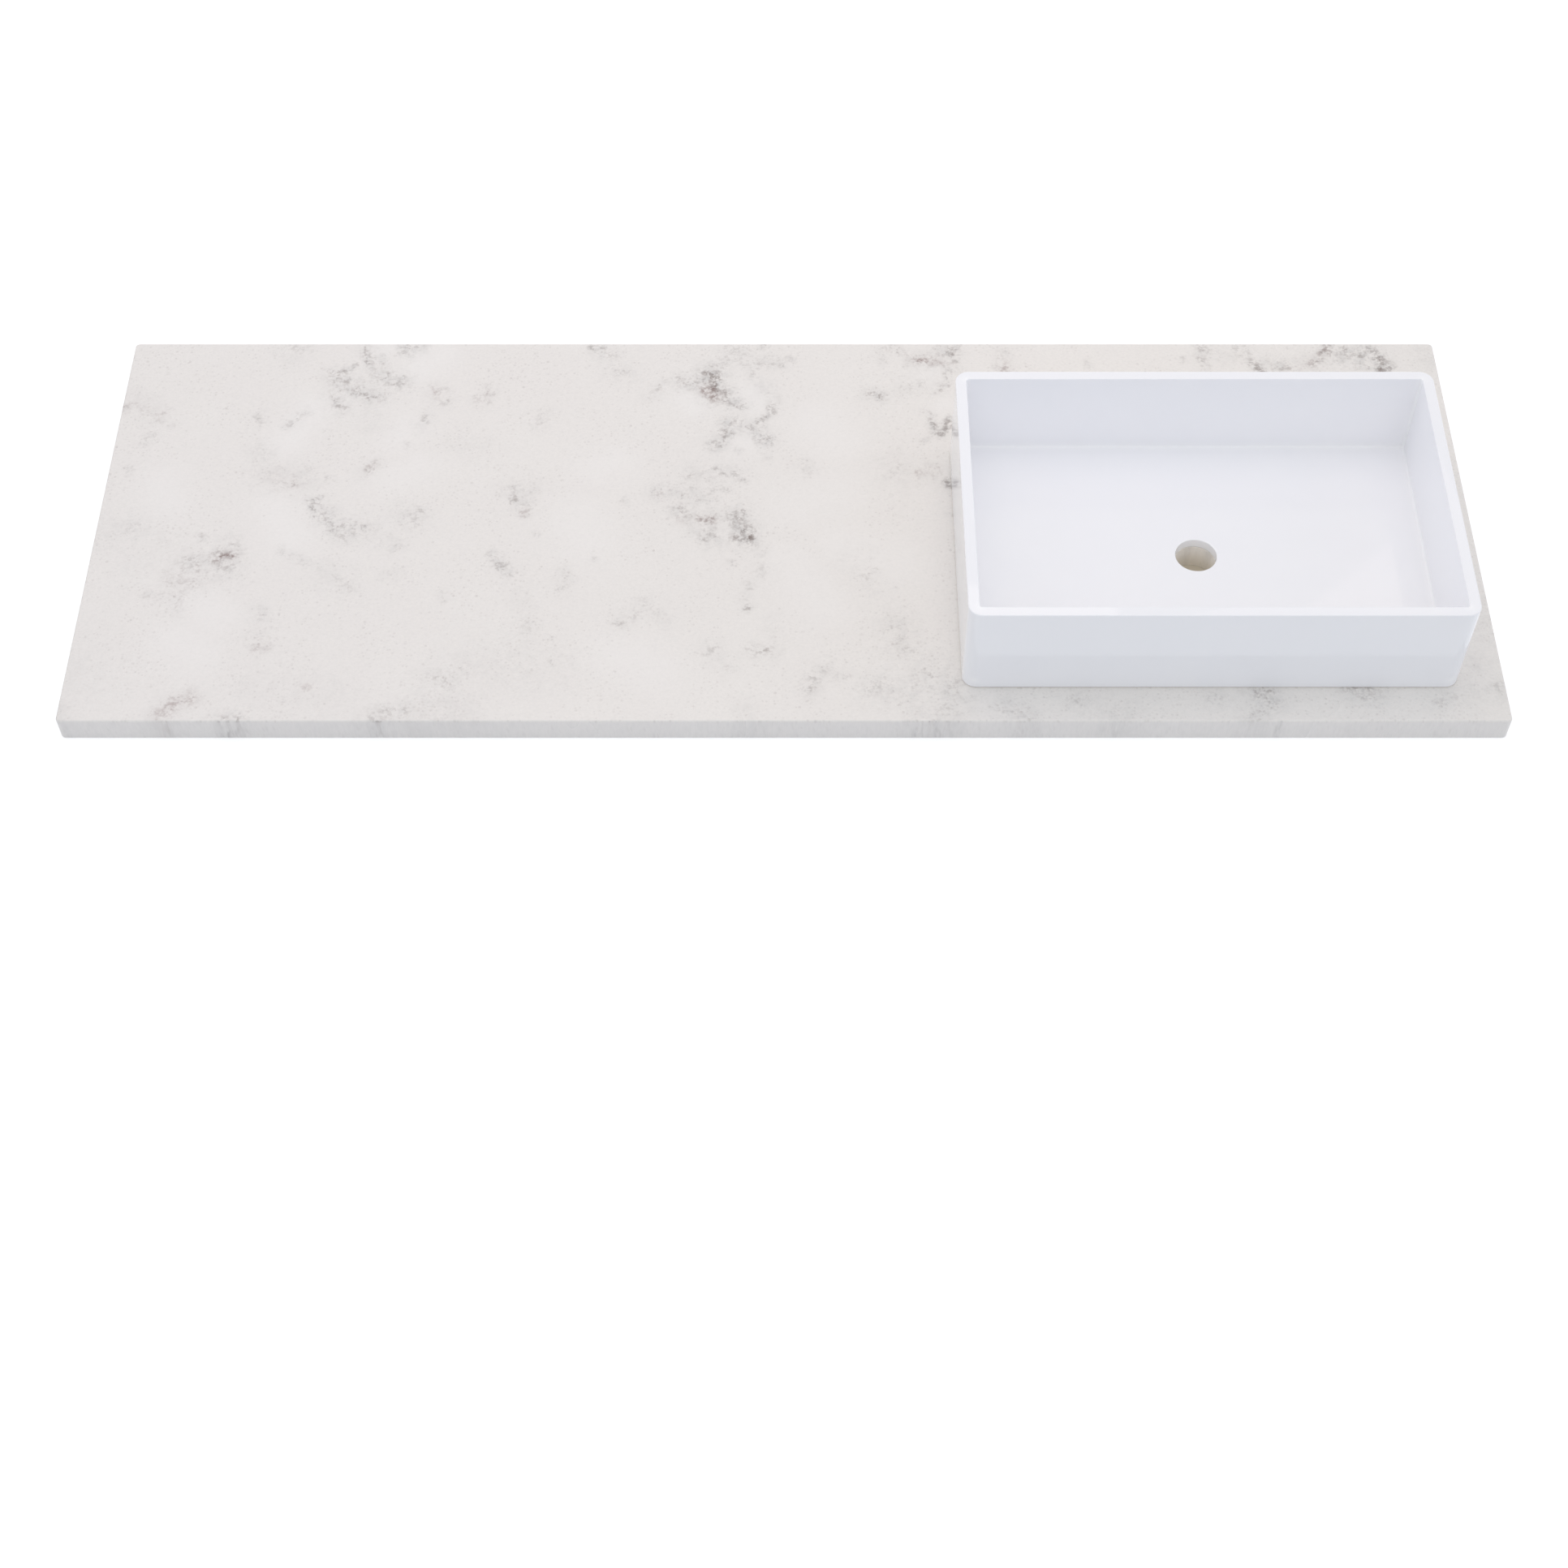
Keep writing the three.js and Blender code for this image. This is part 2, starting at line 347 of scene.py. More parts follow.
DARK_STRANDS = (
    (0.75, 5, -491, 272, -489, 262, -486, 250),
    (0.35, 6, -484, 250, -471, 246, -465, 256),
    (0.7, 5, -440, 274, -434, 273),
    (0.3, 7, -448, 262, -438, 256),
    (0.35, 7, -574, 274, -560, 270),
    (0.8, 5, -501, 243, -503, 240),
    (0.7, 5, -509, 234, -511, 233),
    (0.55, 5, -528, 233, -524, 226, -522, 220),
    (0.35, 7, -524, 230, -508, 236),
    (0.5, 5, -514, 219, -505, 217),
    (0.5, 5, -513, 209, -516, 200),
    (0.6, 6, -496, 203, -495, 196, -488, 197),
    (0.7, 5, -484, 196, -478, 192, -468, 189),
    (0.35, 5, -460, 191, -454, 194),
    (0.6, 5, -478, 225, -468, 220, -466, 222),
    (0.6, 5, -463, 229, -460, 228),
    (0.55, 7, -456, 216, -450, 212, -442, 211),
    (0.55, 5, -446, 221, -445, 219),
    (0.5, 5, -522, 188, -517, 182, -508, 171),
    (0.35, 6, -568, 146, -560, 154, -554, 163),
    (0.35, 6, -604, 160, -600, 150),
    (0.3, 5, -408, 206, -392, 205),
    (0.5, 5, -406, 201, -398, 195),
    (0.35, 5, -392, 181, -388, 186),
    (0.4, 6, -413, 160, -411, 152),
    (0.55, 5, -340, 200, -340, 196),
    (0.3, 8, -344, 186, -352, 190),
    (0.28, 5, -430, 115, -428, 115),
    (0.25, 7, -276, 166, -279, 152),
    (0.7, 6, -763, 178, -758, 174),
    (0.45, 5, -752, 179, -748, 178),
    (0.3, 6, -738, 172, -734, 166),
    (0.45, 5, -719, 160, -718, 158),
    (0.35, 5, -710, 172, -714, 154),
    (0.35, 5, -722, 130, -720, 126),
    (0.35, 5, -730, 120, -726, 119),
    (0.35, 5, -702, 144, -700, 143),
    (0.3, 5, -741, 80, -738, 73),
    (0.35, 5, -722, -11, -726, -17),
    (0.45, 5, -564, 55, -560, 52),
    (0.6, 5, -551, 54, -549, 52),
    (0.3, 5, -562, 68, -560, 62),
    (0.35, 5, -538, 80, -536, 82),
    (0.3, 5, -516, 61, -510, 62),
    (0.7, 5, -471, 76, -467, 79),
    (0.4, 5, -463, 84, -461, 86),
    (0.6, 5, -521, 36, -523, 28),
    (0.7, 5, -527, 20, -523, 19),
    (0.35, 5, -533, 27, -530, 26),
    (0.5, 5, -518, 8, -510, 4),
    (0.35, 6, -506, 12, -500, 8),
    (0.6, 5, -504, -6, -498, -13, -494, -10),
    (0.3, 6, -498, -2, -484, 0),
    (0.55, 5, -476, -8, -470, -10, -462, -11),
    (0.4, 6, -488, -23, -480, -26),
    (0.3, 6, -478, -20, -464, -16),
    (0.5, 5, -430, -38, -426, -37),
    (0.45, 5, -408, 15, -402, 18),
    (0.3, 8, -412, 5, -410, -5),
    (0.35, 5, -432, -78, -427, -77),
    (1.3, 6, -616, -52, -608, -50),
    (0.9, 5, -624, -57, -617, -58),
    (0.45, 5, -616, -69, -608, -67),
    (0.45, 5, -606, -33, -604, -32),
    (0.55, 5, -657, -58, -648, -55),
    (0.35, 6, -645, -50, -640, -58),
    (0.45, 5, -657, -74, -656, -68),
    (0.35, 6, -648, -66, -642, -72),
    (0.5, 5, -641, -86, -642, -94),
    (0.4, 5, -644, -24, -641, -26),
    (0.3, 6, -630, -46, -622, -44),
    (0.3, 8, -668, -88, -655, -92),
    (0.35, 5, -656, -104, -654, -122),
    (0.28, 6, -694, -107, -672, -110),
    (0.25, 5, -551, -48, -538, -53, -524, -62),
    (0.28, 5, -486, -86, -464, -102),
    (0.35, 5, -566, -134, -563, -138),
    (0.35, 5, -566, -165, -562, -170),
    (0.65, 5, -564, -184, -559, -181),
    (0.3, 5, -556, -176, -551, -178),
    (0.45, 5, -505, -235, -503, -236),
    (0.5, 9, -650, -268, -640, -256, -626, -250),
    (0.45, 5, -632, -254, -624, -248),
    (0.45, 7, -590, -277, -570, -278),
    (0.35, 8, -432, -275, -412, -264),
    (0.45, 5, -404, -266, -399, -265),
    (0.6, 5, -302, 34, -300, 28),
    (0.4, 5, -300, 24, -292, 18),
    (0.75, 5, -289, 13, -287, 10),
    (0.35, 5, -283, 54, -283, 42),
    (0.3, 7, -314, 46, -294, 47),
    (0.28, 5, -275, -19, -274, -21),
    (0.65, 5, -319, -58, -314, -62, -309, -68),
    (0.4, 5, -305, -72, -297, -74),
    (0.35, 5, -323, -50, -320, -46),
    (0.3, 5, -240, -74, -239, -80),
    (0.45, 5, -243, -98, -241, -100),
    (0.45, 5, -208, -57, -207, -58),
    (0.28, 5, -178, 30, -176, 28),
    (0.4, 6, -144, 42, -138, 45, -134, 48),
    (0.3, 6, -118, 40, -110, 40),
    (0.4, 5, -104, 48, -100, 48),
    (0.3, 7, -90, 46, -82, 44),
    (0.3, 5, -94, 30, -92, 28),
    (0.6, 5, -118, 17, -114, 15),
    (0.55, 5, -112, 6, -108, 4, -104, 6),
    (0.8, 5, -97, 3, -90, 1, -82, 1, -77, 5),
    (0.55, 5, -77, -4, -76, -6),
    (0.5, 5, -92, -26, -88, -32, -84, -28),
    (0.55, 5, -82, -22, -76, -23),
    (0.45, 5, -80, 77, -74, 76, -64, 72),
    (0.5, 5, -56, 72, -46, 64),
    (0.3, 6, -112, 66, -98, 72, -86, 66),
    (0.35, 5, -64, 50, -66, 45),
    (0.85, 5, -50, 14, -48, 12),
    (0.6, 6, -56, 6, -50, 4),
    (0.45, 7, -58, -2, -48, -6, -42, -10),
    (1.25, 6, -44, -17, -41, -22, -38, -26),
    (0.8, 6, -54, -26, -46, -28, -42, -30),
    (0.45, 5, -34, -16, -32, -18),
    (0.35, 5, -53, -40, -51, -41),
    (0.3, 5, -30, -42, -26, -45),
    (0.4, 5, -58, -61, -57, -62),
    (0.28, 6, -24, -70, -22, -78),
    (0.28, 5, -38, -95, -37, -98),
    (0.95, 5, -41, -123, -40, -125),
    (0.65, 5, -226, 274, -214, 272),
    (0.45, 5, -214, 264, -204, 256),
    (0.28, 8, -198, 236, -186, 230),
    (0.25, 6, -142, 214, -148, 200, -154, 192),
    (0.9, 7, -88, 230, -80, 226),
    (0.5, 5, -74, 242, -71, 250),
    (0.6, 6, -92, 221, -78, 218),
    (1.2, 6, -83, 211, -83, 205),
    (1.2, 8, -91, 200, -83, 193),
    (0.7, 9, -78, 200, -70, 198),
    (0.4, 7, -120, 220, -108, 212, -98, 215),
    (0.6, 6, -64, 186, -56, 178, -50, 176),
    (0.35, 6, -70, 253, -55, 248, -38, 246, -26, 244),
    (0.45, 6, -16, 249, -4, 245),
    (0.4, 5, 5, 257, 9, 254),
    (0.35, 8, -66, 268, -46, 266),
    (0.5, 5, -27, 273, -22, 272),
    (0.3, 6, -36, 238, -36, 220),
    (0.55, 6, -67, 152, -62, 148),
    (0.6, 6, -68, 136, -60, 132),
    (0.5, 6, -70, 122, -64, 130),
    (0.55, 6, -82, 114, -76, 116),
    (0.4, 5, -56, 160, -50, 150, -44, 142, -36, 142),
    (0.7, 5, -36, 142, -27, 154, -22, 158),
    (0.5, 5, -20, 161, -14, 166, -12, 178),
    (0.78, 8, -28, 128, -20, 125),
    (0.25, 5, -20, 116, -19, 100),
    (0.4, 5, -53, 109, -51, 107),
    (0.4, 5, 20, 91, 24, 89),
    (0.35, 5, 26, 80, 28, 77),
    (0.9, 5, 101, 197, 106, 193, 112, 191),
    (0.35, 7, 126, 273, 142, 263),
    (0.3, 6, 112, 270, 116, 250),
    (0.85, 6, 152, 252, 162, 251, 172, 250),
    (0.45, 5, 182, 246, 188, 243),
    (1.0, 5, 194, 270, 195, 260),
    (0.6, 8, 186, 266, 200, 262),
    (0.55, 5, 204, 275, 199, 270),
    (0.45, 5, 198, 250, 192, 232, 186, 212),
    (0.55, 5, 184, 208, 178, 200),
    (0.3, 7, 140, 206, 158, 214),
    (0.9, 5, 170, 148, 173, 138, 177, 132, 184, 142),
    (0.7, 5, 184, 142, 188, 150, 190, 158),
    (0.7, 5, 193, 148, 198, 130),
    (0.4, 5, 164, 170, 168, 156),
    (0.4, 5, 158, 122, 164, 128),
    (0.5, 5, 150, 74, 152, 66),
    (0.45, 5, 168, 83, 174, 78),
    (0.35, 5, 172, 72, 170, 66),
    (0.9, 5, 187, 62, 185, 55, 191, 54),
    (0.45, 5, 188, 13, 187, 12),
    (0.2, 8, 125, 85, 122, 72),
    (0.22, 8, 96, -74, 92, -82),
    (0.4, 5, -161, -128, -159, -133),
    (0.35, 6, -162, -140, -178, -146),
    (0.3, 6, -152, -118, -148, -124),
    (0.3, 6, -138, -133, -134, -136),
    (0.3, 5, -372, -104, -369, -115),
    (0.3, 6, -275, -146, -276, -158),
    (0.35, 5, -251, -167, -248, -168),
    (0.3, 6, -374, -220, -352, -226),
    (0.28, 5, -344, -208, -342, -212),
    (0.5, 5, -246, -201, -245, -203),
    (0.4, 5, -80, -186, -74, -180),
    (0.35, 5, -61, -203, -56, -203),
    (0.55, 6, -33, -185, -26, -185, -14, -186),
    (0.45, 6, 36, -214, 45, -210),
    (0.55, 5, 30, -224, 30, -232, 27, -238),
    (0.3, 7, 55, -220, 62, -220),
    (0.45, 5, 122, -169, 126, -168),
    (0.45, 5, 128, -184, 134, -184),
    (0.28, 6, 120, -148, 119, -155),
    (0.3, 5, 88, -242, 102, -230),
    (0.4, 5, 150, -212, 158, -222),
    (0.4, 5, 131, -233, 152, -233),
    (0.35, 7, 176, -238, 182, -230),
    (0.3, 8, 165, -265, 175, -262),
    (0.35, 6, 226, -256, 238, -268),
    (0.3, 7, 250, -270, 254, -276),
    (0.3, 6, 306, -250, 317, -255),
    (0.3, 8, 450, -248, 458, -250),
    (0.55, 6, 500, -241, 508, -242),
    (0.3, 9, 506, -252, 514, -256),
    (0.5, 6, 490, -271, 500, -266),
    (0.6, 8, 600, -236, 610, -238),
    (0.35, 8, 615, -244, 622, -242),
    (0.3, 6, 686, -254, 692, -258),
    (0.3, 6, 706, -244, 708, -248),
    (0.55, 5, 750, -233, 752, -238),
    (0.3, 6, 255, 262, 256, 250),
    (0.65, 5, 257, 242, 258, 235),
    (0.35, 6, 248, 237, 264, 236),
    (0.3, 5, 353, 247, 356, 242),
    (0.4, 5, 466, 254, 467, 253),
    (0.4, 6, 490, 272, 488, 262),
    (0.45, 6, 489, 252, 492, 244, 492, 237),
    (0.35, 8, 534, 270, 540, 262),
    (0.55, 7, 545, 250, 552, 244),
    (0.85, 5, 553, 241, 557, 236),
    (0.55, 5, 570, 238, 584, 238, 592, 236),
    (0.6, 5, 614, 246, 622, 249, 628, 250),
    (0.95, 6, 631, 264, 636, 268, 638, 274),
    (0.75, 6, 656, 272, 664, 268),
    (0.45, 6, 655, 262, 660, 256),
    (0.55, 6, 672, 243, 682, 238),
    (0.8, 5, 684, 274, 688, 266, 694, 262),
    (0.45, 5, 669, 272, 674, 262, 682, 256),
    (1.0, 8, 696, 254, 698, 244, 694, 238),
    (0.6, 7, 700, 236, 707, 238),
)

HAZES = (
    (0.5, 18, -518, 224, -500, 208, -474, 194),
    (0.4, 16, -478, 256, -470, 226, -446, 218),
    (0.35, 14, -518, 190, -508, 174),
    (0.4, 10, -491, 270, -484, 250),
    (0.5, 13, -444, 272, -430, 274),
    (0.17, 16, -590, 268, -566, 270, -575, 248),
    (0.24, 14, -600, 108, -588, 100),
    (0.26, 10, -566, 148, -552, 168),
    (0.18, 20, -480, 168, -474, 150),
    (0.12, 12, -602, 160, -600, 150),
    (0.3, 12, -404, 200, -392, 184),
    (0.22, 12, -412, 158, -416, 146),
    (0.25, 12, -344, 200, -348, 186),
    (0.18, 14, -276, 164, -282, 150),
    (0.15, 22, -365, 120, -345, 112),
    (0.24, 18, -755, 190, -720, 165),
    (0.22, 10, -722, 126, -730, 120),
    (0.35, 22, -575, 68, -548, 62),
    (0.3, 10, -474, 74, -464, 84),
    (0.35, 10, -526, 30, -522, 20),
    (0.48, 14, -510, 8, -498, -8),
    (0.38, 17, -484, -18, -468, -14),
    (0.25, 20, -420, 10, -410, -2),
    (0.22, 14, -438, -26, -428, -36),
    (0.18, 12, -432, -78, -427, -77),
    (0.24, 24, -745, -16, -715, -12),
    (0.85, 13, -618, -54, -609, -50),
    (0.42, 20, -650, -60, -626, -68, -612, -66),
    (0.28, 18, -665, -82, -645, -90),
    (0.32, 12, -612, -26, -606, -40),
    (0.15, 30, -710, -60, -690, -40),
    (0.22, 9, -552, -46, -530, -58, -505, -70),
    (0.2, 20, -500, -80, -480, -88),
    (0.2, 16, -660, -106, -656, -124),
    (0.25, 12, -566, -130, -564, -140),
    (0.3, 12, -564, -168, -560, -182),
    (0.45, 14, -655, -270, -636, -256, -624, -250),
    (0.38, 12, -590, -276, -574, -278),
    (0.32, 18, -430, -276, -404, -266),
    (0.28, 14, -760, -264, -762, -272),
    (0.16, 30, -750, -205, -735, -225),
    (0.15, 34, -560, -235, -480, -245),
    (0.42, 13, -296, 40, -290, 22),
    (0.26, 14, -310, 44, -284, 46),
    (0.34, 9, -318, -58, -300, -73),
    (0.22, 12, -240, -76, -242, -98),
    (0.18, 14, -284, -110, -276, -160),
    (0.26, 14, -150, -122, -176, -144),
    (0.2, 14, -140, -130, -126, -142),
    (0.26, 20, -372, -222, -350, -224),
    (0.2, 30, -335, -200, -300, -210),
    (0.26, 28, -380, -265, -340, -262),
    (0.18, 26, -285, -190, -270, -220),
    (0.15, 24, -232, -225, -236, -200),
    (0.18, 18, -78, -186, -60, -202),
    (0.22, 14, -42, -262, -38, -272),
    (0.32, 14, -142, 44, -132, 46),
    (0.4, 17, -120, 40, -88, 38),
    (0.26, 18, -104, 70, -60, 72),
    (0.48, 14, -116, 14, -104, 6),
    (0.55, 13, -94, 3, -78, 3),
    (0.5, 14, -92, -14, -78, -28),
    (0.82, 15, -54, 8, -42, -22),
    (0.28, 10, -32, -36, -26, -46),
    (0.2, 12, -24, -70, -22, -78),
    (0.18, 10, -38, -94, -41, -122),
    (0.32, 14, -216, 270, -206, 256),
    (0.22, 18, -196, 238, -180, 230),
    (0.16, 14, -146, 206, -156, 192),
    (0.9, 17, -84, 230, -83, 200),
    (0.54, 14, -116, 216, -98, 212),
    (0.58, 14, -72, 198, -51, 179),
    (0.28, 16, -66, 264, -40, 252, -12, 248),
    (0.24, 10, -36, 240, -34, 212),
    (0.62, 12, -62, 150, -62, 134, -78, 116),
    (0.38, 10, -50, 148, -36, 144, -24, 158),
    (0.32, 9, -14, 168, -14, 204),
    (0.3, 13, -28, 212, -22, 200),
    (0.6, 13, -28, 134, -22, 122),
    (0.24, 8, -20, 116, -19, 98),
    (0.16, 12, 16, 88, 28, 78),
    (0.6, 12, 102, 196, 110, 192),
    (0.5, 12, 188, 268, 196, 262),
    (0.6, 13, 152, 252, 180, 248),
    (0.26, 11, 198, 250, 196, 236),
    (0.32, 8, 190, 222, 178, 202),
    (0.26, 12, 126, 270, 142, 262),
    (0.18, 20, 138, 206, 156, 214),
    (0.46, 9, 171, 148, 177, 135, 188, 150),
    (0.4, 5, 194, 146, 198, 130),
    (0.22, 9, 163, 172, 169, 154),
    (0.28, 14, 152, 70, 172, 78),
    (0.4, 10, 187, 60, 186, 54),
    (0.18, 24, 124, 88, 126, 70),
    (0.16, 24, 80, -60, 100, -90),
    (0.28, 12, -33, -184, -12, -186),
    (0.15, 10, -12, -165, -12, -138),
    (0.3, 14, 40, -212, 28, -236),
    (0.18, 14, 55, -220, 64, -221),
    (0.28, 20, 120, -145, 128, -184),
    (0.38, 24, 98, -238, 130, -247),
    (0.36, 28, 150, -220, 178, -245),
    (0.28, 20, 135, -270, 175, -272),
    (0.3, 16, 232, -260, 254, -274),
    (0.28, 16, 306, -250, 318, -258),
    (0.26, 22, 345, -272, 362, -274),
    (0.26, 14, 450, -248, 458, -250),
    (0.5, 18, 500, -243, 512, -254),
    (0.36, 16, 490, -270, 502, -268),
    (0.46, 18, 600, -237, 618, -242),
    (0.28, 14, 690, -256, 706, -246),
    (0.36, 14, 750, -233, 752, -240),
    (0.26, 18, 730, -232, 735, -205),
    (0.2, 18, 755, -160, 750, -120),
    (0.3, 12, 256, 262, 258, 240),
    (0.36, 10, 490, 272, 490, 238),
    (0.28, 15, 502, 264, 516, 256),
    (0.28, 12, 534, 272, 545, 258),
    (0.48, 12, 550, 246, 556, 238),
    (0.5, 13, 564, 246, 594, 240),
    (0.44, 14, 616, 246, 634, 264),
    (0.66, 15, 640, 268, 648, 256),
    (0.58, 14, 698, 250, 698, 240),
    (0.6, 14, 672, 246, 678, 266),
    (0.24, 16, 650, 240, 640, 244),
    (0.26, 15, 752, 268, 753, 250),
    (1.0, 4, 443, -38, 441, -34),
    (0.7, 4, 468, -46, 471, -42),
)

RUSTS = (
    (0.8, 16, -650, -268, -626, -250),
    (0.6, 14, -572, 64, -549, 52),
    (0.6, 12, -562, -183, -554, -175),
    (0.8, 10, -406, 201, -398, 195),
    (0.5, 12, -350, 186, -340, 198),
    (0.7, 12, 257, 236, 257, 246),
    (0.7, 12, 150, 70, 172, 80),
    (0.7, 12, 152, 252, 180, 248),
    (0.5, 20, -757, 177, -714, 159),
    (0.5, 22, -668, -86, -645, -92),
    (0.5, 12, -620, -56, -602, -48),
    (0.5, 10, -472, 78, -462, 86),
    (0.4, 14, 602, 240, 638, 264),
    (0.6, 10, -96, 2, -78, 2),
    (0.7, 10, -92, 200, -80, 192),
    (0.8, 8, -505, -235, -503, -236),
    (0.7, 10, -136, -3, -116, -2),
    (0.8, 6, -289, 13, -287, 10),
)

# Milky patches without specks, between the strands; the broad one left of the basin is painted light, lifting
# the shade that the basin throws there
CLEARINGS_AND_PAINTED_LIGHT = (
    (1.0, 14, -474, 270, -464, 276),
    (1.0, 26, -424, 240, -404, 262),
    (1.0, 24, -566, 120, -545, 172),
    (0.8, 26, -440, 60, -415, 80),
    (1.0, 30, -570, 20, -545, -24),
    (0.8, 30, -630, -120, -610, -140),
    (0.8, 32, -650, -170, -625, -190),
    (0.8, 26, -440, 125, -430, 145),
    (1.0, 16, -116, 190, -100, 175),
    (1.0, 18, -40, 200, -30, 180),
    (0.8, 22, -45, 118, -36, 124),
    (0.9, 40, 40, 150, 60, 120),
    (0.9, 45, 20, 20, 60, 40),
    (0.8, 40, -230, 0, -215, -30),
    (0.8, 30, -210, 80, -190, 90),
    (0.8, 35, -180, -190, -140, -210),
    (0.8, 16, 165, 225, 172, 236),
    (1.0, 14, 178, 170, 186, 178),
    (0.9, 40, 10, -60, 40, -120),
    # Painted light: this patch lifts the shade that the basin throws on the stone at its left
    (1.0, 42, 60, -30, 115, -60),
    (0.8, 30, -700, 60, -690, 30),
)

# The same strands where they run out in the front edge: strength, half width, place along the slab,
# and the lowest and highest millimetre
FRONT_STREAKS = (
    (0.4, 9, -645, 0, 30),
    (0.45, 12, -572, 0, 30),
    (1.0, 4, -584, 0, 10),
    (0.45, 12, -424, 0, 30),
    (0.22, 22, -36, 0, 30),
    (0.45, 22, 152, 0, 30),
    (0.6, 4, 137, 0, 20),
    (0.2, 20, 349, 0, 30),
    (0.45, 6, 518, 0, 30),
)

# How far the strokes wander from their lines, in waves of what length, and where in the noise they start
WANDER_REACH = 5
WANDER_WAVE = 13
WANDER_START = 8.0
SECOND_DRAW = Vector((17.3, 5.1, 9.7))

# How far a front streak fades beyond its height, and the share of it that is haze
STREAK_FADE = 6
STREAK_HAZE = 0.8


def distance_to_stroke(places, points):
    """The distance of each place to the nearest part of the stroke."""
    nearest = np.full(len(places), np.inf)
    for start, end in zip(points, points[1:]):
        along = end - start
        share = np.clip(((places - start) @ along) / (along @ along), 0, 1)
        gap = places - start - share[:, None] * along
        nearest = np.minimum(nearest, np.hypot(gap[:, 0], gap[:, 1]))
    return nearest


def wander(places):
    """Moves each place a little, so that the strokes run raggedly."""
    moved = places.copy()
    for row, (x, y) in enumerate(places):
        point = Vector((x / WANDER_WAVE, y / WANDER_WAVE, WANDER_START))
        moved[row, 0] += WANDER_REACH * noise.noise(point)
        moved[row, 1] += WANDER_REACH * noise.noise(point + SECOND_DRAW)
    return moved


def painted(places, strokes):
    amount = np.zeros(len(places))
    for strength, width, *line in strokes:
        distance = distance_to_stroke(places, np.reshape(line, (-1, 2)).astype(float))
        amount = np.maximum(amount, strength * np.exp(-((distance / width) ** 2)))
    return amount


def paint_pattern(slab):
    """Stores the pattern as attributes of the slab's points."""
    mesh = slab.data
    spots = np.empty(len(mesh.vertices) * 3)
    mesh.vertices.foreach_get("co", spots)
    spots = spots.reshape(-1, 3) / MM
    places = wander(spots[:, :2])
    layers = {
        "strands": painted(places, DARK_STRANDS),
        "haze": painted(places, HAZES),
        "rust": painted(places, RUSTS),
        "clearing_and_painted_light": painted(places, CLEARINGS_AND_PAINTED_LIGHT),
    }
    front = spots[:, 1] < spots[:, 1].min() + 1
    for strength, width, x, lowest, highest in FRONT_STREAKS:
        across = np.exp(-(((spots[:, 0] - x) / width) ** 2))
        under_top = np.clip(1 - (spots[:, 2] - highest) / STREAK_FADE, 0, 1)
        over_foot = np.clip(1 - (lowest - spots[:, 2]) / STREAK_FADE, 0, 1)
        streak = strength * across * (under_top * over_foot) * front
        layers["strands"] = np.maximum(layers["strands"], streak)
        layers["haze"] = np.maximum(layers["haze"], STREAK_HAZE * streak)
    for name, amount in layers.items():
        attribute = mesh.attributes.new(name, "FLOAT", "POINT")
        attribute.data.foreach_set("value", amount.astype(np.float32))


# Building materials from nodes

WHITE = (1.0, 1.0, 1.0, 1.0)
ACROSS = (1.0, 1.0, 0.0)


def node(tree, kind, inputs=None, **settings):
    """Adds a node with its settings; an input is a value or another node's output."""
    made = tree.nodes.new(kind)
    for name, value in settings.items():
        setattr(made, name, value)
    for key, value in (inputs or {}).items():
        if isinstance(value, bpy.types.NodeSocket):
            tree.links.new(value, made.inputs[key])
        else:
            made.inputs[key].default_value = value
    return made


def maths(tree, operation, a, b=0.0):
    return node(tree, "ShaderNodeMath", {0: a, 1: b}, operation=operation).outputs[0]


def times(tree, a, b):
    return maths(tree, "MULTIPLY", a, b)


def vector_maths(tree, operation, a, b=(0.0, 0.0, 0.0)):
    made = node(tree, "ShaderNodeVectorMath", {0: a, 1: b}, operation=operation)
    return made.outputs["Value" if operation in ("DOT_PRODUCT", "LENGTH") else "Vector"]


def parts_of(tree, vector):
    return node(tree, "ShaderNodeSeparateXYZ", {"Vector": vector}).outputs


def rise(tree, value, low, high, start=0.0, end=1.0):
    """Eases from start to end while the value goes from low to high."""
    inputs = {"Value": value, "From Min": low, "From Max": high, "To Min": start, "To Max": end}
    return node(tree, "ShaderNodeMapRange", inputs, interpolation_type="SMOOTHSTEP").outputs["Result"]


def blend_colours(tree, share, a, b, kind="MIX"):
    made = node(tree, "ShaderNodeMix", {0: share, 6: a, 7: b}, data_type="RGBA", blend_type=kind)
    return made.outputs[2]


def blend_values(tree, share, a, b):
    return node(tree, "ShaderNodeMix", {0: share, 2: a, 3: b}, data_type="FLOAT").outputs[0]


def cloud(tree, place, scale, detail=2.0, roughness=0.5, distortion=0.0):
    inputs = {
        "Vector": place,
        "Scale": scale,
        "Detail": detail,
        "Roughness": roughness,
        "Distortion": distortion,
    }
    return node(tree, "ShaderNodeTexNoise", inputs).outputs[0]


def painted_amount(tree, name):
    return node(tree, "ShaderNodeAttribute", attribute_name=name).outputs["Fac"]


def object_place(tree):
    return node(tree, "ShaderNodeTexCoord").outputs["Object"]


def place_in_millimetres(tree):
    return vector_maths(tree, "MULTIPLY", object_place(tree), (1 / MM, 1 / MM, 1 / MM))


def distance_off_axis(tree, place):
    """How far a place is from the upright line through nought."""
    return vector_maths(tree, "LENGTH", vector_maths(tree, "MULTIPLY", place, ACROSS))


def new_material(name):
    material = bpy.data.materials.new(name)
    material.use_nodes = True
    material.node_tree.nodes.clear()
    return material, material.node_tree


def finish_surface_with(tree, inputs):
    """Ends a material with its shader, which gets these inputs."""
    surface = node(tree, "ShaderNodeBsdfPrincipled", inputs)
    node(tree, "ShaderNodeOutputMaterial", {"Surface": surface.outputs["BSDF"]})


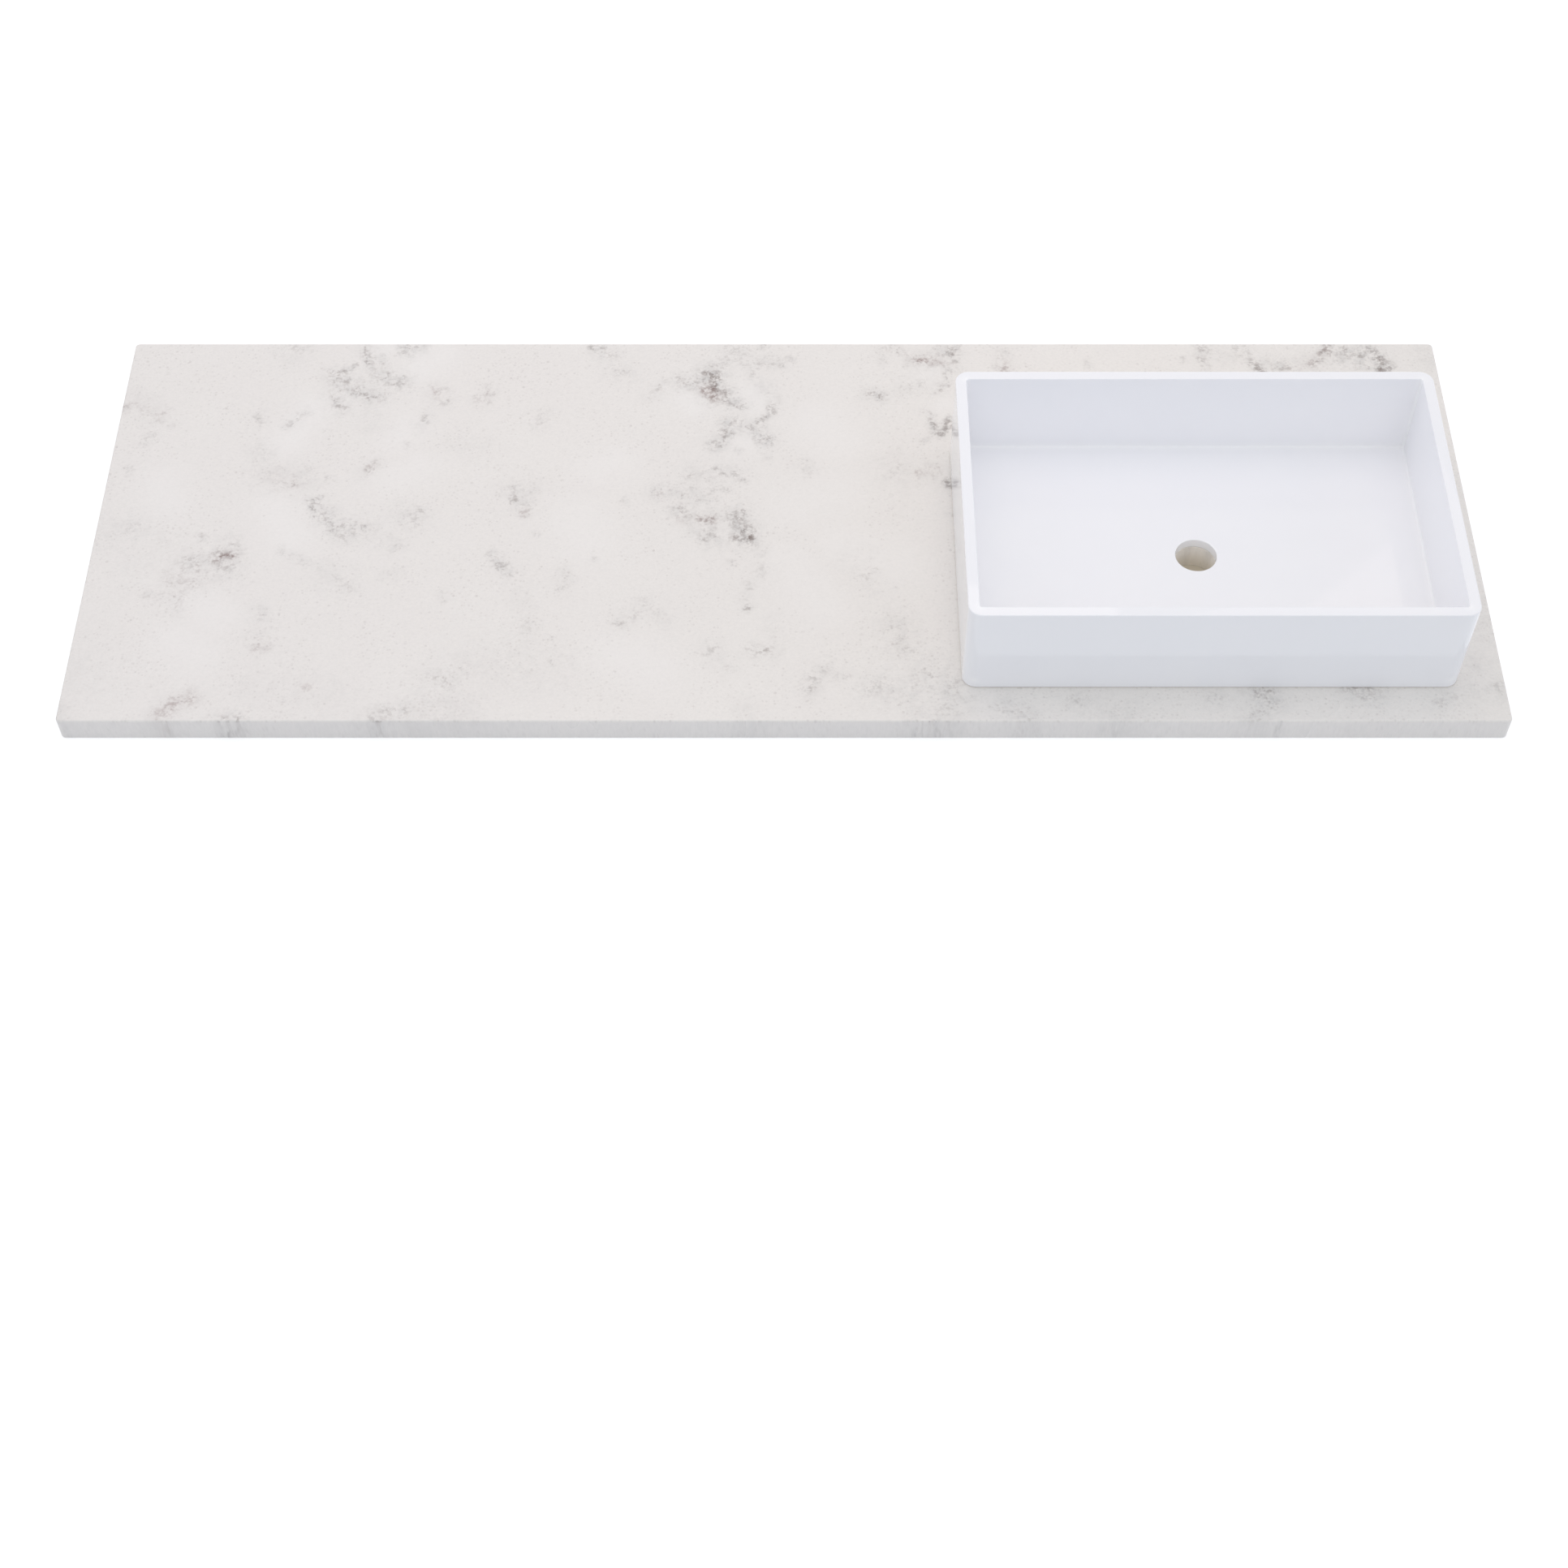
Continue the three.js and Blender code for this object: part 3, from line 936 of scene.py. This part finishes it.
def new_group(name, inputs, outputs):
    """A node group; each socket is named with its kind."""
    group = bpy.data.node_groups.new(name, "ShaderNodeTree")
    for sockets, way in ((inputs, "INPUT"), (outputs, "OUTPUT")):
        for socket, kind in sockets.items():
            group.interface.new_socket(socket, in_out=way, socket_type="NodeSocket" + kind)
    return group, group.nodes.new("NodeGroupInput").outputs, group.nodes.new("NodeGroupOutput").inputs


# The parts of the mottle's noise that turn the tone and the gloss
TONE_RANGE = (0.25, 0.75)
GLOSS_RANGE = (0.3, 0.7)


def soft_mottle_group():
    """A slight unevenness of tone and gloss, as every fired, cast or polished surface has."""
    inputs = {
        "Place": "Vector",
        "Colour": "Color",
        "Darker": "Color",
        "Patch Scale": "Float",
        "Roughness Low": "Float",
        "Roughness High": "Float",
    }
    group, given, made = new_group("soft_mottle", inputs, {"Colour": "Color", "Roughness": "Float"})
    patches = cloud(group, given["Place"], given["Patch Scale"], 3.0, 0.5)
    share = rise(group, patches, *TONE_RANGE)
    colour = blend_colours(group, share, given["Colour"], given["Darker"])
    gloss = rise(group, patches, *GLOSS_RANGE, given["Roughness Low"], given["Roughness High"])
    group.links.new(colour, made["Colour"])
    group.links.new(gloss, made["Roughness"])
    return group


def fine_ripple_group():
    """A faint waviness, given as a normal."""
    inputs = {"Place": "Vector", "Ripple Scale": "Float", "Depth": "Float"}
    group, given, made = new_group("fine_ripple", inputs, {"Normal": "Vector"})
    waves = cloud(group, given["Place"], given["Ripple Scale"], 3.0, 0.45)
    depth = times(group, waves, given["Depth"])
    bump = node(group, "ShaderNodeBump", {"Height": depth, "Strength": 1.0, "Distance": 1.0})
    group.links.new(bump.outputs["Normal"], made["Normal"])
    return group


soft_mottle = soft_mottle_group()
fine_ripple = fine_ripple_group()


def mottled(tree, place, colour, darker, scale, smoothest, roughest):
    """The soft mottle with a material's own colours, patches to the millimetre and roughness."""
    inputs = {
        "Place": place,
        "Colour": colour,
        "Darker": darker,
        "Patch Scale": scale,
        "Roughness Low": smoothest,
        "Roughness High": roughest,
    }
    made = node(tree, "ShaderNodeGroup", inputs, node_tree=soft_mottle)
    return made.outputs["Colour"], made.outputs["Roughness"]


def rippled(tree, place, scale, depth):
    """The fine ripple with a material's own waves to the millimetre and depth in metres."""
    inputs = {"Place": place, "Ripple Scale": scale, "Depth": depth}
    return node(tree, "ShaderNodeGroup", inputs, node_tree=fine_ripple).outputs["Normal"]


QUARTZ_PALE = (0.880, 0.845, 0.802, 1.0)
QUARTZ_CREAM = (0.866, 0.829, 0.788, 1.0)
QUARTZ_MILKY = (0.895, 0.863, 0.825, 1.0)
QUARTZ_HAZE = (0.515, 0.510, 0.497, 1.0)
QUARTZ_SPECK = (0.420, 0.370, 0.345, 1.0)
QUARTZ_GRAIN = (0.250, 0.205, 0.188, 1.0)
QUARTZ_RUST = (0.420, 0.300, 0.280, 1.0)
QUARTZ_GROUND = (0.640, 0.620, 0.600, 1.0)
QUARTZ_IOR = 1.5

# Patches to the millimetre, and the roughness of the smoothest and of the roughest
QUARTZ_PATCHES = (0.008, 0.26, 0.36)

# The noise of each layer of the stone: waves to the millimetre, detail, roughness and distortion
CROWD_NOISE = (0.014, 3.0, 0.55)
DRIFT_NOISE = (0.085, 4.0, 0.6)
RAGGED_NOISE = (0.11, 2.0, 0.55)
CRUSHED_NOISE = (0.235, 1.5, 0.55, 0.3)
FINE_NOISE = (0.33, 2.0, 0.65)

# The part of each noise that shows, and what it stands for at its lowest and at its highest
CROWDING = (0.36, 0.66, 0.15, 0.75)
TEARING = (0.36, 0.66, 0.30, 1.25)
RAGGEDNESS = (0.30, 0.66, 0.55, 1.20)
FINE_RANGE = (0.30, 0.75, 0.0)
GRAIN_RANGE = (-0.14, 0.20)

# How deep the layers tint the stone; the fine grain in the plain stone and in the clearings
FINE_DEPTH = (0.10, 0.06)
HAZE_DEPTH = 0.50
GRAIN_DEPTH = 0.62
STRAY_GRAIN_DEPTH = 0.03
RUST_IN_HAZE = 0.6
RUST_IN_GRAIN = 0.7

# How much the strands cloud the stone, the specks crowd in the haze and thin out in the clearings, and the
# haze turns to grain
STRAND_CLOUD = 0.9
SPECKS_IN_HAZE = 0.6
SPECKS_IN_CLEARINGS = 0.5
HAZE_GRAIN = 0.4
GRAIN_THRESHOLD = 0.60
THRESHOLD_DROP = 0.16

# Specks: cells to the millimetre, share of the crowding, widest radius, depth in plain and in hazy stone
SMALL_SPECKS = (0.23, 1.0, 0.34, 0.20, 0.36)
LARGE_SPECKS = (0.12, 0.5, 0.22, 0.26, 0.40)
SPECK_HAZE = (0.1, 0.8)

# The slab's sides: the heights in millimetres of the top and of where the sides begin and are full, the
# slice of noise that the top shows, how grain is drawn out and specks lean, how pale it is, and the cool
# tint of painted light on it
TOP_HEIGHT = 30.0
SIDE_HEIGHTS = (28.5, 27.0)
TOP_SLICE = 2.4
SIDE_GRAIN = 0.25
SPECK_LEAN = (0.12, 0.30, 0.0)
SIDE_SOFTNESS = 0.55
SIDE_PAINTED_COOL_LIGHT = (0.993, 0.998, 1.014, 1.0)

# The waste hole's wall, in millimetres: its radius with a little to spare, how soft its edge is, the heights
# between which its tint changes, and the tint high up and low down: the resin's warmer tone, with painted
# light high up and painted shade low down
BORE_EDGE = 22.9
BORE_SOFTNESS = 0.3
BORE_HEIGHTS = (2.0, 24.0)
BORE_UPPER_TONE_AND_LIGHT = (1.125, 1.125, 1.095, 1.0)
BORE_LOWER_TONE_AND_SHADE = (0.985, 0.965, 0.905, 1.0)

# The ground underside: the heights in millimetres where it ends, its roughness, and the wheel marks on it
GROUND_HEIGHTS = (0.4, 0.1)
GROUND_ROUGHNESS = 0.75
WHEEL_MARKS = {"Scale": 0.05, "Distortion": 1.5, "Detail": 2.0}
WHEEL_MARK_DEPTH = (0.2, 0.9, 0.0, 0.10)


def round_specks(tree, place, scale, crowding, widest):
    """Soft round grains, one to a cell where the cell's own draw is under the crowding."""
    cells = node(tree, "ShaderNodeTexVoronoi", {"Vector": place, "Scale": scale}, voronoi_dimensions="2D")
    draw = node(tree, "ShaderNodeSeparateColor", {"Color": cells.outputs["Color"]})
    there = rise(tree, maths(tree, "SUBTRACT", crowding, draw.outputs[2]), 0.0, 0.25)
    reach = rise(tree, draw.outputs[0], 0.0, 1.0, 0.4 * widest, widest)
    inside = maths(tree, "SUBTRACT", reach, cells.outputs["Distance"])
    spot = rise(tree, inside, -0.4 * widest, 0.6 * widest)
    depth = times(tree, there, rise(tree, draw.outputs[1], 0.0, 1.0, 0.3, 1.0))
    return times(tree, spot, depth)


def polished_quartz(hole_centre):
    """Pale quartz agglomerate: crushed grain that crowds into soft haze and ragged strands."""
    material, tree = new_material("polished_quartz")
    flat_place = place_in_millimetres(tree)
    height = parts_of(tree, flat_place)["Z"]
    place = vector_maths(tree, "MULTIPLY", flat_place, (1.0, 1.0, SIDE_GRAIN))
    place = vector_maths(tree, "ADD", place, (0.0, 0.0, TOP_SLICE - SIDE_GRAIN * TOP_HEIGHT))
    below_top = maths(tree, "SUBTRACT", height, TOP_HEIGHT)
    speck_place = vector_maths(tree, "ADD", place, vector_maths(tree, "MULTIPLY", below_top, SPECK_LEAN))
    sides = rise(tree, height, *SIDE_HEIGHTS)
    strands = painted_amount(tree, "strands")
    haze = painted_amount(tree, "haze")
    rust = painted_amount(tree, "rust")
    clearing_and_painted_light = painted_amount(tree, "clearing_and_painted_light")

    # Ground tone, slightly patched, with the fine grain of crushed quartz
    colour, gloss = mottled(tree, place, QUARTZ_PALE, QUARTZ_CREAM, *QUARTZ_PATCHES)
    # Milky clearings, and with them the painted light left of the basin
    colour = blend_colours(tree, clearing_and_painted_light, colour, QUARTZ_MILKY)
    fine_depth = rise(tree, clearing_and_painted_light, 0.0, 1.0, *FINE_DEPTH)
    fine_share = rise(tree, cloud(tree, place, *FINE_NOISE), *FINE_RANGE, fine_depth)
    colour = blend_colours(tree, fine_share, colour, QUARTZ_HAZE)

    # Soft haze, torn at its edges
    torn = rise(tree, cloud(tree, place, *DRIFT_NOISE), *TEARING)
    cloudiness = maths(tree, "MAXIMUM", haze, times(tree, strands, STRAND_CLOUD))
    haze_share = times(tree, times(tree, cloudiness, torn), HAZE_DEPTH)
    haze_colour = blend_colours(tree, times(tree, rust, RUST_IN_HAZE), QUARTZ_HAZE, QUARTZ_RUST)
    colour = blend_colours(tree, haze_share, colour, haze_colour)

    # Specks, few in the clean patches and many round the strands
    crowding = rise(tree, cloud(tree, place, *CROWD_NOISE), *CROWDING)
    crowding = maths(tree, "ADD", crowding, times(tree, cloudiness, SPECKS_IN_HAZE))
    crowding = maths(tree, "SUBTRACT", crowding, times(tree, clearing_and_painted_light, SPECKS_IN_CLEARINGS))
    plainness = rise(tree, sides, 0.0, 1.0, 1.0, 1.0 - SIDE_SOFTNESS)
    for scale, share, widest, plain, hazy in (SMALL_SPECKS, LARGE_SPECKS):
        specks = round_specks(tree, speck_place, scale, times(tree, crowding, share), widest)
        depth = times(tree, rise(tree, cloudiness, *SPECK_HAZE, plain, hazy), plainness)
        colour = blend_colours(tree, times(tree, specks, depth), colour, QUARTZ_SPECK)

    # Soft round grain, sparse in the haze and run together in the strands
    drawn = maths(tree, "ADD", strands, times(tree, haze, HAZE_GRAIN))
    drawn = times(tree, drawn, rise(tree, cloud(tree, place, *RAGGED_NOISE), *RAGGEDNESS))
    threshold = maths(tree, "SUBTRACT", GRAIN_THRESHOLD, times(tree, drawn, THRESHOLD_DROP))
    above = maths(tree, "SUBTRACT", cloud(tree, place, *CRUSHED_NOISE), threshold)
    depth = maths(tree, "ADD", times(tree, drawn, GRAIN_DEPTH), STRAY_GRAIN_DEPTH)
    depth = times(tree, depth, plainness)
    grain_share = times(tree, rise(tree, above, *GRAIN_RANGE), depth)
    grain_colour = blend_colours(tree, times(tree, rust, RUST_IN_GRAIN), QUARTZ_GRAIN, QUARTZ_RUST)
    colour = blend_colours(tree, grain_share, colour, grain_colour)

    # Painted light: the sides are tinted a little cooler than the top, for the cooler light falling on them
    colour = blend_colours(tree, sides, colour, SIDE_PAINTED_COOL_LIGHT, "MULTIPLY")

    # The bored wall of the waste hole is cut and not polished, so the resin shows a warmer tone. Over it is
    #     # painted light near the mouth, and painted shade, darker and warmer, further down the bore
    axis = (hole_centre.x / MM, hole_centre.y / MM, 0.0)
    off_axis = distance_off_axis(tree, vector_maths(tree, "SUBTRACT", flat_place, axis))
    in_bore = rise(tree, off_axis, BORE_EDGE + BORE_SOFTNESS, BORE_EDGE)
    bore_tone_light_and_shade = blend_colours(tree, rise(tree, height, *BORE_HEIGHTS), BORE_LOWER_TONE_AND_SHADE, BORE_UPPER_TONE_AND_LIGHT)
    colour = blend_colours(tree, in_bore, colour, bore_tone_light_and_shade, "MULTIPLY")

    # The underside is only ground flat: matt, with the marks of the calibrating wheel
    under = rise(tree, height, *GROUND_HEIGHTS)
    marks = node(tree, "ShaderNodeTexWave", {"Vector": place, **WHEEL_MARKS}, bands_direction="X")
    marked = rise(tree, marks.outputs[1], *WHEEL_MARK_DEPTH)
    ground = blend_colours(tree, marked, QUARTZ_GROUND, QUARTZ_HAZE)
    colour = blend_colours(tree, under, colour, ground)
    gloss = blend_values(tree, under, gloss, GROUND_ROUGHNESS)
    finish_surface_with(tree, {"Base Color": colour, "Roughness": gloss, "IOR": QUARTZ_IOR})
    return material


GLAZE_WHITE = (0.948, 0.948, 0.967, 1.0)
GLAZE_POOLED = (0.941, 0.942, 0.964, 1.0)
# Painted light: a whiter tone that lightens the inner corners, the cove and the waste hole's wall, where
# shade falls
GLAZE_PAINTED_LIGHT = (0.990, 0.990, 1.000, 1.0)
GLAZE_PATCHES = (0.02, 0.025, 0.045)
GLAZE_WAVES = (0.07, 0.006 * MM)
GLAZE_IOR = 1.6

# Painted light in the corners: its reach from a corner and its core in millimetres, and what the reach has of
# the tone
PAINTED_LIGHT_REACH = 9.0
PAINTED_LIGHT_CORE = 1.4
PAINTED_LIGHT_SHARE = 0.55

# The bare biscuit ends just above the basin's foot, here in millimetres
BISCUIT = (0.740, 0.720, 0.680, 1.0)
BISCUIT_ROUGHNESS = 0.8
BISCUIT_EDGE = 0.05
BISCUIT_SOFTNESS = 0.15


def painted_corner_light(tree, place, low, high):
    """1 where light is painted, along the inner corners, the cove and the waste hole, and 0 further away."""
    middle = (low + high) / 2 / MM
    reach = (high - low) / 2 / MM
    wall = BASIN_WALL / MM
    floor_height = (low.z + BASIN_FLOOR) / MM
    from_middle = vector_maths(tree, "SUBTRACT", place, (middle.x, middle.y, floor_height))
    parts = parts_of(tree, from_middle)
    gap_x = maths(tree, "SUBTRACT", reach.x - wall, maths(tree, "ABSOLUTE", parts["X"]))
    gap_y = maths(tree, "SUBTRACT", reach.y - wall, maths(tree, "ABSOLUTE", parts["Y"]))
    gap_z = parts["Z"]
    nearest = PAINTED_LIGHT_REACH
    for a, b in ((gap_x, gap_y), (gap_x, gap_z), (gap_y, gap_z)):
        off_edge = node(tree, "ShaderNodeCombineXYZ", {0: a, 1: b}).outputs[0]
        nearest = maths(tree, "MINIMUM", nearest, vector_maths(tree, "LENGTH", off_edge))
    wide = rise(tree, nearest, PAINTED_LIGHT_REACH, PAINTED_LIGHT_CORE, 0.0, PAINTED_LIGHT_SHARE)
    core = rise(tree, nearest, 2 * PAINTED_LIGHT_CORE, PAINTED_LIGHT_CORE, 0.0, 1 - PAINTED_LIGHT_SHARE)
    mouth_radius = (HOLE_RADIUS + HOLE_EASE) / MM
    in_hole = rise(tree, distance_off_axis(tree, from_middle), mouth_radius, BORE_EDGE)
    return maths(tree, "MAXIMUM", maths(tree, "ADD", wide, core), in_hole)


def white_glaze(low, high):
    """Fired white glaze, a little uneven and softly waved, with painted light in its inner corners, cove and
    waste hole, over biscuit that shows only under the basin.
    """
    material, tree = new_material("white_glaze")
    place = place_in_millimetres(tree)
    colour, gloss = mottled(tree, place, GLAZE_WHITE, GLAZE_POOLED, *GLAZE_PATCHES)
    waves = rippled(tree, place, *GLAZE_WAVES)
    # Painted light along the inner corners, the cove and the waste hole's wall, lifting the shade there
    colour = blend_colours(tree, painted_corner_light(tree, place, low, high), colour, GLAZE_PAINTED_LIGHT)
    edge = low.z / MM + BISCUIT_EDGE
    foot = rise(tree, parts_of(tree, place)["Z"], edge + BISCUIT_SOFTNESS, edge)
    colour = blend_colours(tree, foot, colour, BISCUIT)
    gloss = blend_values(tree, foot, gloss, BISCUIT_ROUGHNESS)
    finish_surface_with(
        tree, {"Base Color": colour, "Roughness": gloss, "Normal": waves, "IOR": GLAZE_IOR}
    )
    return material


SILICONE_PALE = (0.760, 0.750, 0.720, 1.0)
SILICONE_DULL = (0.700, 0.690, 0.665, 1.0)
SILICONE_PATCHES = (0.09, 0.38, 0.55)
SILICONE_SMEAR = (0.3, 0.04 * MM)


def pale_silicone():
    """Cured silicone, smeared where it was squeezed out."""
    material, tree = new_material("pale_silicone")
    place = place_in_millimetres(tree)
    colour, gloss = mottled(tree, place, SILICONE_PALE, SILICONE_DULL, *SILICONE_PATCHES)
    smear = rippled(tree, place, *SILICONE_SMEAR)
    finish_surface_with(tree, {"Base Color": colour, "Roughness": gloss, "Normal": smear})
    return material


# The part, put together

basin_low, basin_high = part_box("basin")
hole_centre = (basin_low + basin_high) / 2

slab = quartz_slab(hole_centre)
paint_pattern(slab)
basin = glazed_basin(hole_centre)
bead = squeezed_bead()
ring = squeezed_ring()

silicone = pale_silicone()
for piece, node_name, slot_name, finish in (
    (slab, "quartz_slab", "quartz", polished_quartz(hole_centre)),
    (basin, "basin", "basin_glaze", white_glaze(basin_low, basin_high)),
    (bead, "bedding_bead", "silicone", silicone),
    (ring, "waste_hole_seal", "silicone", silicone),
):
    piece.data.materials.clear()
    piece.data.materials.append(finish)
    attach(piece, "root")
    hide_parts(node_name)


# Studio: a pale floor under the slab, in a dome of soft lights

FLOOR_SIZE = 60.0
FLOOR_TONE = (0.80, 0.80, 0.80, 1.0)
# Painted shade: the floor under the slab is darker and warmer, as it shows through the waste hole
PAINTED_SHADE_TONE = (0.70, 0.64, 0.53, 1.0)
SHADE_EDGE = 0.01
FLOOR_GAP = 0.05 * MM
FLOOR_LIFT = 0.45
FLOOR_ROUGHNESS = 0.9

# Each soft light of the dome: the direction that it comes from and its colour in the middle
DOME_LIGHTS = {
    "above the front": ((0.0, -0.7, 0.7), (0.498, 0.553, 0.640)),
    "overhead": ((0.0, 0.0, 1.0), (0.285, 0.278, 0.228)),
    "behind": ((0.0, 1.0, 0.15), (0.952, 0.953, 0.957)),
    "left": ((-1.0, 0.0, 0.15), (1.085, 1.148, 1.232)),
    "right": ((1.0, 0.0, 0.15), (1.246, 1.314, 1.468)),
}
DOME_SPREAD = 3.0

# Soft boxes over the part: place, width, strength in watts and colour
SOFT_BOXES = {
    "box_over_the_back": ((0.0, 0.5, 1.8), 1.2, 3.95, (1.000, 0.885, 0.820)),
    "box_over_the_left": ((-0.9, 0.4, 1.5), 1.0, 2.13, (0.990, 0.850, 1.000)),
    "box_over_the_right": ((0.9, 0.4, 1.5), 1.0, 1.26, (1.000, 0.820, 0.820)),
}
SOFT_BOX_AIM = (0.0, 0.0, 0.03)

# A fill from above the front that throws no shadow, as light bounced about a white studio does
FILL_SOURCE = (0.0, -0.7, 0.7)
FILL_STRENGTH = 0.405
FILL_SPREAD = math.radians(60)
FILL_COLOUR = (1.000, 0.954, 0.908)

# The camera: its place, its tilt up from straight down, and its lens and sensor in millimetres
CAMERA_PLACE = (0, -1.8640, 2.1015)
CAMERA_TILT = math.radians(35.97)
CAMERA_LENS = 57.307
CAMERA_SENSOR = 36
CAMERA_FARTHEST = 200


def seen_directly(tree):
    """1 for what the camera sees, also by way of gloss or glass, and 0 for light that falls on a surface."""
    path = node(tree, "ShaderNodeLightPath").outputs
    seen = maths(tree, "MAXIMUM", path["Is Camera Ray"], path["Is Glossy Ray"])
    return maths(tree, "MAXIMUM", seen, path["Is Transmission Ray"])


def studio_floor():
    """A floor with painted shade: darker and warmer under the slab, where it shows through the waste hole."""
    clear_selection()
    bpy.ops.mesh.primitive_plane_add(size=FLOOR_SIZE, location=(0, 0, cad_low.z - FLOOR_GAP))
    floor = settle("studio_floor")
    material, tree = new_material("pale_floor")
    parts = parts_of(tree, object_place(tree))
    past_end = rise(tree, maths(tree, "ABSOLUTE", parts["X"]), cad_high.x - SHADE_EDGE, cad_high.x)
    past_side = rise(tree, maths(tree, "ABSOLUTE", parts["Y"]), cad_high.y - SHADE_EDGE, cad_high.y)
    open_floor = maths(tree, "MAXIMUM", past_end, past_side)
    inputs = {
        "Base Color": blend_colours(tree, open_floor, PAINTED_SHADE_TONE, FLOOR_TONE),
        "Roughness": FLOOR_ROUGHNESS,
        "Specular IOR Level": 0.0,
        "Emission Color": WHITE,
        "Emission Strength": times(tree, times(tree, seen_directly(tree), open_floor), FLOOR_LIFT),
    }
    finish_surface_with(tree, inputs)
    floor.data.materials.append(material)


def soft_light(tree, direction, source, colour):
    """A colour that is full towards its source and fades round to nothing at a right angle from it."""
    key = tuple(Vector(source).normalized())
    towards = maths(tree, "MAXIMUM", vector_maths(tree, "DOT_PRODUCT", direction, key), 0.0)
    inputs = {0: colour, "Scale": maths(tree, "POWER", towards, DOME_SPREAD)}
    return node(tree, "ShaderNodeVectorMath", inputs, operation="SCALE").outputs["Vector"]


def studio_dome():
    world = bpy.data.worlds.new("studio_dome")
    world.use_nodes = True
    bpy.context.scene.world = world
    tree = world.node_tree
    tree.nodes.clear()
    direction = node(tree, "ShaderNodeTexCoord").outputs["Generated"]
    dome = (0.0, 0.0, 0.0)
    for source, colour in DOME_LIGHTS.values():
        dome = vector_maths(tree, "ADD", soft_light(tree, direction, source, colour), dome)
    light = node(tree, "ShaderNodeBackground", {"Color": dome}).outputs[0]
    white = node(tree, "ShaderNodeBackground", {"Color": WHITE}).outputs[0]
    shown = node(tree, "ShaderNodeMixShader", {0: seen_directly(tree), 1: light, 2: white})
    node(tree, "ShaderNodeOutputWorld", {"Surface": shown.outputs[0]})


def hang_lamp(data, place, aim):
    """Hangs a lamp that points at its aim and isn't seen itself."""
    lamp = bpy.data.objects.new(data.name, data)
    lamp.location = place
    lamp.rotation_euler = (Vector(aim) - Vector(place)).to_track_quat("-Z", "Y").to_euler()
    lamp.visible_camera = False
    bpy.context.scene.collection.objects.link(lamp)
    return lamp


def soft_boxes():
    for name, (place, width, strength, colour) in SOFT_BOXES.items():
        data = bpy.data.lights.new(name, "AREA")
        data.shape = "SQUARE"
        data.size = width
        data.energy = strength
        data.color = colour
        hang_lamp(data, place, SOFT_BOX_AIM)


def shadowless_fill():
    data = bpy.data.lights.new("shadowless_fill", "SUN")
    data.energy = FILL_STRENGTH
    data.angle = FILL_SPREAD
    data.color = FILL_COLOUR
    data.use_shadow = False
    lamp = hang_lamp(data, FILL_SOURCE, (0, 0, 0))
    lamp.visible_glossy = False


def photo_camera():
    data = bpy.data.cameras.new("photo_camera")
    data.sensor_width = CAMERA_SENSOR
    data.lens = CAMERA_LENS
    data.clip_end = CAMERA_FARTHEST
    camera = bpy.data.objects.new("photo_camera", data)
    camera.location = CAMERA_PLACE
    camera.rotation_euler = (CAMERA_TILT, 0, 0)
    bpy.context.scene.collection.objects.link(camera)
    bpy.context.scene.camera = camera


studio_floor()
studio_dome()
soft_boxes()
shadowless_fill()
photo_camera()
bpy.context.scene.view_settings.view_transform = "Standard"
